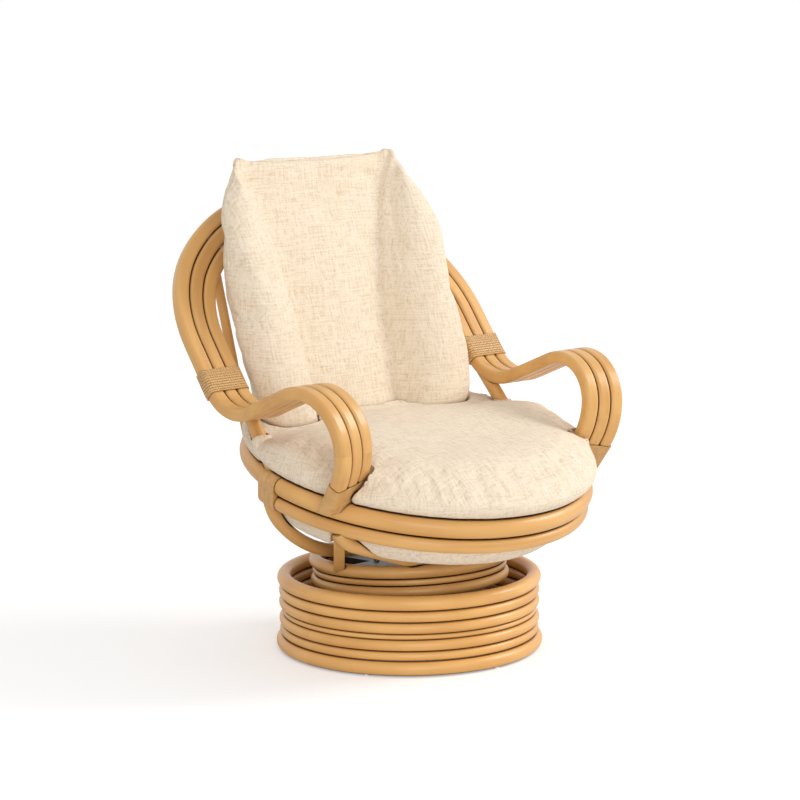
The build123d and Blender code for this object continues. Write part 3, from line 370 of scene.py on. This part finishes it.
def wood(name, light, dark, scale, roughness, coat=0.0):
    nodes = Nodes(name)
    grain = nodes.noise(nodes.mapped(nodes.place(), scale=scale), 1.0, 4.0, 0.6, 0.4)
    colour = nodes.ramp(grain, (0.35, dark), (0.65, light))
    colour = nodes.groove_shade(colour, toned(dark, 0.3), 2 * GROOVE_SHADE_REACH)
    normal = nodes.bump(grain, 0.0006, 0.4)
    return nodes.finish(colour, roughness, normal, Coat_Weight=coat, Coat_Roughness=0.2)


def hide_binding(name, centre, tilt, about, pitch, depth=1.0):
    """Strips of rawhide wound side by side, with the edge of each turn a little proud and painted
    shade in the seams between turns.
    """
    nodes = Nodes(name)
    round_it = nodes.split(round_mapping(nodes, centre, tilt, about))[0]
    wander = nodes.math("MULTIPLY", nodes.noise(nodes.place(), 30.0), 0.003)
    phase = nodes.math("FRACT", nodes.math("DIVIDE", nodes.math("ADD", round_it, wander), pitch))
    edge = nodes.math("ABSOLUTE", nodes.math("SUBTRACT", phase, 0.5))
    line = nodes.ramp(edge, (0.40, BLACK), (0.5, WHITE))
    mottle = nodes.noise(nodes.place(), 90.0, 3.0)
    skin = nodes.ramp(mottle, (0.3, HIDE_MID), (0.7, HIDE_LIGHT))
    # Painted shade along the seam between turns
    colour = nodes.mix(nodes.math("MULTIPLY", line, 0.45 * depth), skin, HIDE_SEAM_SHADE)
    colour = nodes.groove_shade(colour, GROOVE_SHADE, GROOVE_SHADE_REACH)
    height = nodes.math("SUBTRACT", nodes.math("MULTIPLY", mottle, 0.2), line)
    return nodes.finish(colour, 0.5, nodes.bump(height, 0.0010 * depth, 0.6), Coat_Weight=0.15,
                        Coat_Roughness=0.3)


def basket_weave(name):
    """Flat narrow cane woven over and under in both directions round the strip's leg, with painted
    shade between the strands.
    """
    nodes = Nodes(name)
    vector = nodes.mapped(nodes.place(), location=tuple(-c for c in LOOP_CENTRE))
    x, y, z = nodes.split(nodes.mapped(vector, rotation=(LOOP_RECLINE, 0, 0)))
    across = nodes.math("DIVIDE", nodes.math("ADD", x, y), WEAVE_PITCH)
    down = nodes.math("DIVIDE", z, WEAVE_PITCH)
    waves = [nodes.math("SINE", nodes.math("MULTIPLY", way, math.pi)) for way in (across, down)]
    ridges = [nodes.math("ABSOLUTE", wave) for wave in waves]
    over = nodes.math("GREATER_THAN", nodes.math("MULTIPLY", *waves), 0.0)
    under = nodes.math("SUBTRACT", 1.0, over)
    height = nodes.math("ADD", nodes.math("MULTIPLY", over, ridges[1]),
                        nodes.math("MULTIPLY", under, ridges[0]))
    fibre = nodes.noise(nodes.place(), 260.0, 2.0)
    skin = nodes.ramp(fibre, (0.3, WEAVE_MID), (0.7, WEAVE_LIGHT))
    # Painted shade where the strands dip under one another
    gap = nodes.ramp(height, (0.05, WHITE), (0.40, BLACK))
    colour = nodes.mix(nodes.math("MULTIPLY", gap, 0.75), skin, WEAVE_GAP_SHADE)
    return nodes.finish(colour, 0.42, nodes.bump(height, 0.0020, 0.8), Coat_Weight=0.3,
                        Coat_Roughness=0.2)


def metal(name, colour, roughness, metallic=1.0):
    nodes = Nodes(name)
    fine = nodes.noise(nodes.place(), METAL_GRAIN, 2.0)
    rough = nodes.math("ADD", roughness - 0.05, nodes.math("MULTIPLY", fine, 0.12))
    patch = nodes.noise(nodes.place(), 18.0, 3.0)
    tone = nodes.mix(nodes.ramp(patch, (0.4, BLACK), (0.75, grey(0.4))), colour,
                     toned(colour, 0.6))
    return nodes.finish(tone, rough, nodes.bump(fine, 0.0002, 0.3), Metallic=metallic)


def plastic(name, colour, roughness):
    nodes = Nodes(name)
    fine = nodes.noise(nodes.place(), 500.0, 2.0)
    tone = nodes.mix(nodes.math("MULTIPLY", fine, 0.2), colour, toned(colour, 0.85))
    return nodes.finish(tone, roughness, nodes.bump(fine, 0.0002, 0.3))


def slub_fabric(name):
    """Cream cloth of uneven yarns: a fine open weave with thin slubs both ways."""
    nodes = Nodes(name)
    place = nodes.place()
    cloth = faced_mapping(nodes, place, FACING_JITTER)
    warp = nodes.noise(nodes.mapped(cloth, scale=(620, 90, 1)), 1.0, 2.0, 0.6)
    weft = nodes.noise(nodes.mapped(cloth, scale=(90, 620, 1)), 1.0, 2.0, 0.6)
    slub_up = nodes.noise(nodes.mapped(cloth, scale=(260, 28, 1)), 1.0, 2.0, 0.5)
    slub_across = nodes.noise(nodes.mapped(cloth, scale=(24, 280, 1)), 1.0, 2.0, 0.5)
    yarn = nodes.math("ADD", warp, weft)
    slubs = nodes.math("ADD", slub_up, slub_across)
    height = nodes.math("ADD", nodes.math("MULTIPLY", yarn, 0.25),
                        nodes.math("MULTIPLY", slubs, 0.25))
    tone = nodes.ramp(height, (0.36, FABRIC_DARK), (0.53, FABRIC))
    patches = nodes.noise(place, 11.0, 3.0)
    tone = nodes.mix(nodes.ramp(patches, (0.35, BLACK), (0.8, grey(0.25))), tone, FABRIC_WARM)
    shaded = nodes.groove_shade(tone, FABRIC_SHADE, FOLD_REACH, 0.1, 0.65)
    return nodes.finish(shaded, 0.95, nodes.bump(height, 0.0045, 0.7), Sheen_Weight=0.15,
                        Sheen_Roughness=0.5, Specular_IOR_Level=0.15)


# --- Which node wears what -------------------------------------------------------------------


def dress(node, material):
    for place in frame["nodes"][node].material_slots:
        place.material = material


def dress_frame():
    record = frame["record"]
    slot_of = {part["node"]: part["material_slot"] for part in record["subparts"]}
    by_slot = {
        "board": wood("board", (0.60, 0.42, 0.24), (0.42, 0.27, 0.14), (6, 6, 90), 0.6),
        # dark_board: the drum boards made near-black as painted shade, for the dark inside the drum
        # under the seat
        "dark_board": wood("dark_board", (0.045, 0.035, 0.030), (0.022, 0.018, 0.016),
                           (6, 60, 60), 0.5, 0.2),
        "dark_steel": metal("dark_steel", (0.035, 0.037, 0.042), 0.45, 0.3),
        "steel": metal("steel", (0.58, 0.58, 0.57), 0.32),
        "ball_steel": metal("ball_steel", (0.75, 0.75, 0.76), 0.12),
        "spring_steel": metal("spring_steel", (0.22, 0.22, 0.23), 0.35),
        "brass_cage": metal("brass_cage", (0.72, 0.52, 0.22), 0.3),
        "bush_plastic": plastic("bush_plastic", (0.80, 0.78, 0.72), 0.5),
        "glide_plastic": plastic("glide_plastic", (0.82, 0.82, 0.80), 0.4),
    }
    numbers = {node: i for i, node in enumerate(sorted(slot_of))}
    for node, slot in slot_of.items():
        seed = 0.37 * numbers[node]
        if slot in by_slot:
            dress(node, by_slot[slot])
        elif slot == "binding":
            if node.startswith("arm_band"):
                material = hide_binding(node, ARM_CENTRE, 0.0, "X", 0.0085)
            elif node.startswith("strut_binding"):
                material = hide_binding(node, STRUT_HEAD, 0.0, "X", 0.0075)
            else:
                material = hide_binding(node, HOOP_CENTRE, -HOOP_SLOPE, "Z", 0.012, 0.5)
            dress(node, material)
        elif slot == "weave":
            dress(node, basket_weave(node))
        elif slot == "cane":
            if node.startswith("base_hoop"):
                # Base hoops: a lighter copy of the cane colour (tone 1.08) as painted light, with
                # softer painted shade in the grooves
                material = cane_round(node, DRUM_CENTRE, 0.0, seed, tone=1.08, groove=SOFT_GROOVE_SHADE)
            elif node.startswith("upper_hoop"):
                material = cane_round(node, UPPER_DRUM_CENTRE, UPPER_DRUM_LEAN, seed, tone=0.9)
            elif node.startswith("seat_hoop"):
                material = cane_round(node, HOOP_CENTRE, -HOOP_SLOPE, seed)
            elif node.startswith("loop_cane"):
                material = cane_strip(node, seed)
            elif node.startswith("cradle"):
                material = cane_round(node, CRADLE_CENTRE, 0.0, seed, "Y", 0.9)
            else:
                material = cane_straight(node, (SPINDLE_LEAN, 0, 0), seed, 0.95)
            dress(node, material)


# --- Cushions --------------------------------------------------------------------------------


def welded_copy(node, name):
    """The CAD solid's surface as a mesh of its own, closed."""
    mesh = bmesh.new()
    mesh.from_mesh(frame["nodes"][node].data)
    bmesh.ops.remove_doubles(mesh, verts=mesh.verts, dist=1e-5)
    bmesh.ops.recalc_face_normals(mesh, faces=mesh.faces)
    data = bpy.data.meshes.new(name)
    mesh.to_mesh(data)
    mesh.free()
    obj = bpy.data.objects.new(name, data)
    bpy.context.scene.collection.objects.link(obj)
    return obj


def apply_modifier(obj, modifier):
    bpy.context.view_layer.objects.active = obj
    for other in bpy.context.selected_objects:
        other.select_set(False)
    obj.select_set(True)
    bpy.ops.object.modifier_apply(modifier=modifier.name)


def remeshed(obj, size):
    modifier = obj.modifiers.new("Remesh", "REMESH")
    modifier.mode = "VOXEL"
    modifier.voxel_size = size
    apply_modifier(obj, modifier)


def points(mesh):
    flat = np.empty(len(mesh.vertices) * 3)
    mesh.vertices.foreach_get("co", flat)
    return flat.reshape(-1, 3)


def set_points(mesh, co):
    mesh.vertices.foreach_set("co", co.astype(np.float32).ravel())
    mesh.update()


def normals(mesh):
    flat = np.empty(len(mesh.vertices) * 3)
    mesh.vertices.foreach_get("normal", flat)
    return flat.reshape(-1, 3)


def smooth_step(value, low, high):
    t = np.clip((value - low) / (high - low), 0.0, 1.0)
    return t * t * (3 - 2 * t)


def inflated(obj, freedom, cap):
    """Swell a closed mesh by cloth pressure; freedom is 1 at points that may move in full."""
    start = points(obj.data)
    group = obj.vertex_groups.new(name="held")
    for i, free in enumerate(freedom):
        if free < 0.999:
            group.add([i], float(1 - free), "REPLACE")
    modifier = obj.modifiers.new("Cloth", "CLOTH")
    cloth = modifier.settings
    cloth.quality = 5
    cloth.mass = 0.3
    cloth.tension_stiffness = 12
    cloth.compression_stiffness = 12
    cloth.shear_stiffness = 5
    cloth.bending_stiffness = 0.6
    cloth.use_pressure = True
    cloth.uniform_pressure_force = PRESSURE
    cloth.vertex_group_mass = "held"
    cloth.pin_stiffness = 1.0
    cloth.effector_weights.gravity = 0.0
    modifier.collision_settings.use_collision = False
    modifier.point_cache.frame_start = 1
    modifier.point_cache.frame_end = CLOTH_FRAMES
    scene = bpy.context.scene
    for step in range(1, CLOTH_FRAMES + 1):
        scene.frame_set(step)
        bpy.context.view_layer.update()
    result = obj.evaluated_get(bpy.context.evaluated_depsgraph_get())
    moved = points(result.data) - start
    obj.modifiers.remove(modifier)
    obj.vertex_groups.remove(group)
    scene.frame_set(1)
    length = np.linalg.norm(moved, axis=1, keepdims=True)
    limited = cap * np.tanh(length / cap)
    set_points(obj.data, start + moved * limited / np.maximum(length, 1e-9))


def subdivided(obj):
    modifier = obj.modifiers.new("Subdivision", "SUBSURF")
    modifier.levels = 1
    modifier.render_levels = 1
    apply_modifier(obj, modifier)
    for face in obj.data.polygons:
        face.use_smooth = True


def ripple(co, scale, seed):
    """Smooth noise in -1...1 at each point, the same on every run."""
    return np.array([noise.noise(Vector((x + seed, y - seed, z)) * scale) for x, y, z in co])


def level_values(share):
    """The back cushion's level at a share of the way up, on a smooth curve through them all."""
    levels = np.array(BACK_LEVELS)
    place = np.clip(share, 0, 1) * (len(levels) - 1)
    low = int(min(place, len(levels) - 2))
    t = place - low
    rows = [levels[min(max(low + step, 0), len(levels) - 1)] for step in (-1, 0, 1, 2)]
    before, start, end, after = rows
    return 0.5 * (2 * start + (end - before) * t + (2 * before - 5 * start + 4 * end - after) * t**2
                  + (3 * start - before - 3 * end + after) * t**3)


def half_outline(level):
    """Points from the middle of the front, over the lobe, to the middle of the back."""
    half, seam, channel, deep, panel, rear = level[1:]
    behind = seam + (rear - seam) * math.sqrt(1 - min(channel / half, 1) ** 2)
    deep = min(deep, behind - THINNEST)
    t = np.linspace(0, 1, RING_POINTS, endpoint=False)
    reach = LOBE_REACH * (half - channel)
    ends = ((channel, deep), (channel + 0.12 * (half - channel), deep - reach),
            (half - 0.03 * (half - channel), seam - reach), (half, seam))
    shares = ((1 - t) ** 3, 3 * t * (1 - t) ** 2, 3 * t**2 * (1 - t), t**3)
    middle = np.column_stack([channel * t, panel + (deep - panel) * t**4])
    lobe = sum(share[:, None] * np.array(end) for share, end in zip(shares, ends))
    turn = np.linspace(0, math.pi / 2, RING_POINTS)
    back = np.column_stack([half * np.cos(turn), seam + (rear - seam) * np.sin(turn)])
    return np.vstack([middle, lobe, back])


def back_form():
    """The back cushion before it is filled: a closed mesh through its levels."""
    co, faces = [], []
    for i in range(RINGS):
        level = level_values(i / (RINGS - 1))
        right = half_outline(level)
        left = right[-2:0:-1] * (-1, 1)
        ring = np.vstack([right, left])
        co += [at(x, y, level[0]) for x, y in ring]
    count = len(co) // RINGS
    for i in range(RINGS - 1):
        for j in range(count):
            k = (j + 1) % count
            faces.append((i * count + j, i * count + k, (i + 1) * count + k, (i + 1) * count + j))
    faces.append(tuple(range(count))[::-1])
    faces.append(tuple(range((RINGS - 1) * count, RINGS * count)))
    data = bpy.data.meshes.new("back_cushion_cloth")
    data.from_pydata(co, [], faces)
    obj = bpy.data.objects.new("back_cushion_cloth", data)
    bpy.context.scene.collection.objects.link(obj)
    return obj


def back_channels(co):
    """How near each point is to the bottom of a sewn channel: 1 in it, 0 away from it."""
    levels = np.array(BACK_LEVELS)
    channel = np.interp(co[:, 2], levels[:, 0], levels[:, 3])
    deep = np.interp(co[:, 2], levels[:, 0], levels[:, 4]) + AXIS_Y
    off = np.hypot(np.abs(co[:, 0]) - channel, np.minimum(co[:, 1] - deep, 0) * 0.5)
    return np.exp(-((off / CREASE_WIDTH) ** 2)) * (co[:, 1] < deep + 0.02)


def back_cushion():
    obj = back_form()
    remeshed(obj, VOXEL)
    crease = back_channels(points(obj.data))
    inset = (BACK_INSET * (1 - crease))[:, None]
    set_points(obj.data, points(obj.data) - normals(obj.data) * inset)
    inflated(obj, 1 - crease, BACK_CAP)
    return obj


def dress_back(obj):
    subdivided(obj)
    co, up = points(obj.data), normals(obj.data)
    levels = np.array(BACK_LEVELS)
    off = np.abs(np.abs(co[:, 0]) - np.interp(co[:, 2], levels[:, 0], levels[:, 3]))
    front = up[:, 1] < 0.3
    near = np.exp(-((off / 0.05) ** 2)) * front
    puckers = ripple(co * np.array([0.35, 0.35, 1.6]), 26.0, 3.1) * PUCKER
    sewn = np.exp(-((off / SEWN_WIDTH) ** 2)) * front * SEWN_DEPTH
    soft = ripple(co, 9.0, 7.7) * 0.0030 + ripple(co, 21.0, 2.2) * 0.0010
    set_points(obj.data, co + up * (puckers * (0.12 + near) + soft - sewn)[:, None])


def over_hoop(co):
    """Each point's distance out from the seat hoop's axis, and height over its plane."""
    y, z = co[:, 1] - HOOP_CENTRE[1], co[:, 2] - HOOP_CENTRE[2]
    along = y * math.cos(HOOP_SLOPE) + z * math.sin(HOOP_SLOPE)
    lift = z * math.cos(HOOP_SLOPE) - y * math.sin(HOOP_SLOPE)
    return np.hypot(co[:, 0], along), lift


def sat_in(co):
    """The seat cushion's top, lower in the middle and lower still under the back cushion."""
    out, lift = over_hoop(co)
    limit = SEAT_TOP + SEAT_DISH * np.minimum(out / SEAT_RADIUS, 1.0) ** 2
    limit -= SEAT_SINK * smooth_step(co[:, 1] - AXIS_Y + 0.25 * np.abs(co[:, 0]), 0.02, 0.14)
    down = np.maximum(lift - limit, 0)[:, None]
    return co - down * np.array([0, -math.sin(HOOP_SLOPE), math.cos(HOOP_SLOPE)])


def pressed_against(obj, other):
    """Take the other cushion out of this one, with a small gap between them."""
    tool = other.copy()
    tool.data = other.data.copy()
    bpy.context.scene.collection.objects.link(tool)
    set_points(tool.data, points(tool.data) + normals(tool.data) * CUSHION_GAP)
    remeshed(tool, VOXEL)           # closed again where the creases' two sides met
    whole = obj.data.copy()
    modifier = obj.modifiers.new("Cut", "BOOLEAN")
    modifier.operation = "DIFFERENCE"
    modifier.object = tool
    apply_modifier(obj, modifier)
    bpy.data.objects.remove(tool)
    if len(obj.data.vertices) < len(whole.vertices) / 2:
        obj.data = whole            # the cut failed, and a cushion that overlaps is better


def distance_to(co, other):
    """Each point's distance from the other cushion, or 1 m well in front of it."""
    tree = BVHTree.FromObject(other, bpy.context.evaluated_depsgraph_get())
    front = points(other.data)[:, 1].min() - 0.05
    away = np.ones(len(co))
    for i in np.nonzero(co[:, 1] > front)[0]:
        away[i] = tree.find_nearest(Vector(co[i]))[3]
    return away


def seat_cushion(back):
    obj = welded_copy("seat_cushion", "seat_cushion_cloth")
    remeshed(obj, VOXEL)
    set_points(obj.data, sat_in(points(obj.data)))
    pressed_against(obj, back)
    remeshed(obj, VOXEL)
    co = points(obj.data)
    free = smooth_step(over_hoop(co)[1], 0.045, 0.085)
    free *= smooth_step(distance_to(co, back), 0.006, 0.035)
    set_points(obj.data, co - normals(obj.data) * (SEAT_INSET * free)[:, None])
    inflated(obj, free, SEAT_CAP)
    return obj


def dress_seat(obj, back):
    subdivided(obj)
    co, up = points(obj.data), normals(obj.data)
    soft = ripple(co, 8.0, 1.3) * 0.0035 + ripple(co, 22.0, 5.9) * 0.0014
    loose = smooth_step(over_hoop(co)[1], 0.045, 0.07)
    loose *= smooth_step(distance_to(co, back), 0.004, 0.02)
    set_points(obj.data, co + up * (soft * loose)[:, None])


def rocker_springs():
    """The springs between turntable and seat, as copies of their CAD meshes."""
    for node in ("rocker_springs_front", "rocker_springs_rear"):
        obj = welded_copy(node, f"{node}_bent")
        heights = points(obj.data)[:, 2]
        obj.data.materials.clear()
        obj.data.materials.append(frame["nodes"][node].active_material)
        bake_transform(obj)
        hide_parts(node)


def cushions():
    cloth = slub_fabric("cushion_fabric")
    back = back_cushion()
    seat = seat_cushion(back)
    dress_back(back)
    dress_seat(seat, back)
    for obj, node, fill in ((seat, "seat_cushion", 0.8), (back, "back_cushion", 0.7)):
        obj.data.materials.clear()
        obj.data.materials.append(cloth)
        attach(obj, "seat")
        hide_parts(node)


# --- Room, lights and camera -----------------------------------------------------------------


def floor():
    mesh = bmesh.new()
    bmesh.ops.create_grid(mesh, x_segments=1, y_segments=1, size=FLOOR_HALF)
    data = bpy.data.meshes.new("floor")
    mesh.to_mesh(data)
    mesh.free()
    obj = bpy.data.objects.new("floor", data)
    bpy.context.scene.collection.objects.link(obj)
    nodes = Nodes("floor")
    nodes.finish((0.80, 0.80, 0.80, 1), 0.9, Specular_IOR_Level=0.1)
    nodes.shader.inputs["Emission Color"].default_value = (1, 1, 1, 1)
    seen = nodes.tree.nodes.new("ShaderNodeLightPath").outputs["Is Camera Ray"]
    away = nodes.tree.nodes.new("ShaderNodeVectorMath")
    away.operation = "LENGTH"
    nodes.put(away.inputs[0], nodes.place())
    glow = nodes.tree.nodes.new("ShaderNodeMapRange")
    glow.interpolation_type = "SMOOTHSTEP"
    for socket, value in zip(glow.inputs, (away.outputs["Value"], *FLOOR_GLOW_REACH, *FLOOR_GLOW)):
        nodes.put(socket, value)
    strength = nodes.math("MULTIPLY", seen, glow.outputs[0])
    nodes.put(nodes.shader.inputs["Emission Strength"], strength)
    obj.data.materials.append(nodes.material)


def world():
    scene = bpy.context.scene
    scene.world = bpy.data.worlds.new("studio")
    scene.world.use_nodes = True
    tree = scene.world.node_tree
    backdrop = tree.nodes["Background"]
    backdrop.inputs["Color"].default_value = (1, 1, 1, 1)
    path = tree.nodes.new("ShaderNodeLightPath")
    seen = tree.nodes.new("ShaderNodeMath")
    seen.operation = "MAXIMUM"
    tree.links.new(path.outputs["Is Camera Ray"], seen.inputs[0])
    tree.links.new(path.outputs["Is Glossy Ray"], seen.inputs[1])
    seen_too = tree.nodes.new("ShaderNodeMath")
    seen_too.operation = "MAXIMUM"
    tree.links.new(seen.outputs[0], seen_too.inputs[0])
    tree.links.new(path.outputs["Is Transmission Ray"], seen_too.inputs[1])
    strength = tree.nodes.new("ShaderNodeMapRange")
    tree.links.new(seen_too.outputs[0], strength.inputs["Value"])
    strength.inputs["To Min"].default_value = WORLD_LIGHT
    strength.inputs["To Max"].default_value = 1.0
    tree.links.new(strength.outputs[0], backdrop.inputs["Strength"])


def lamp(name, place, target, size, power):
    light = bpy.data.lights.new(name, "AREA")
    light.shape = "DISK"
    light.size = size
    light.energy = power
    obj = bpy.data.objects.new(name, light)
    bpy.context.scene.collection.objects.link(obj)
    obj.location = place
    obj.rotation_euler = (Vector(target) - Vector(place)).to_track_quat("-Z", "Y").to_euler()


def camera():
    data = bpy.data.cameras.new("camera")
    data.sensor_width = 36.0
    data.lens = FOCAL_LENGTH
    data.clip_end = 100.0
    obj = bpy.data.objects.new("camera", data)
    bpy.context.scene.collection.objects.link(obj)
    right, up = Vector(CAMERA_RIGHT), Vector(CAMERA_UP)
    back = right.cross(up)
    turned = Matrix((right, up, back)).transposed().to_4x4()
    obj.matrix_world = Matrix.Translation(CAMERA_PLACE) @ turned
    bpy.context.scene.camera = obj


dress_frame()
rocker_springs()
cushions()
floor()
world()
for settings in LAMPS:
    lamp(*settings)
camera()
bpy.context.scene.view_settings.view_transform = "Standard"
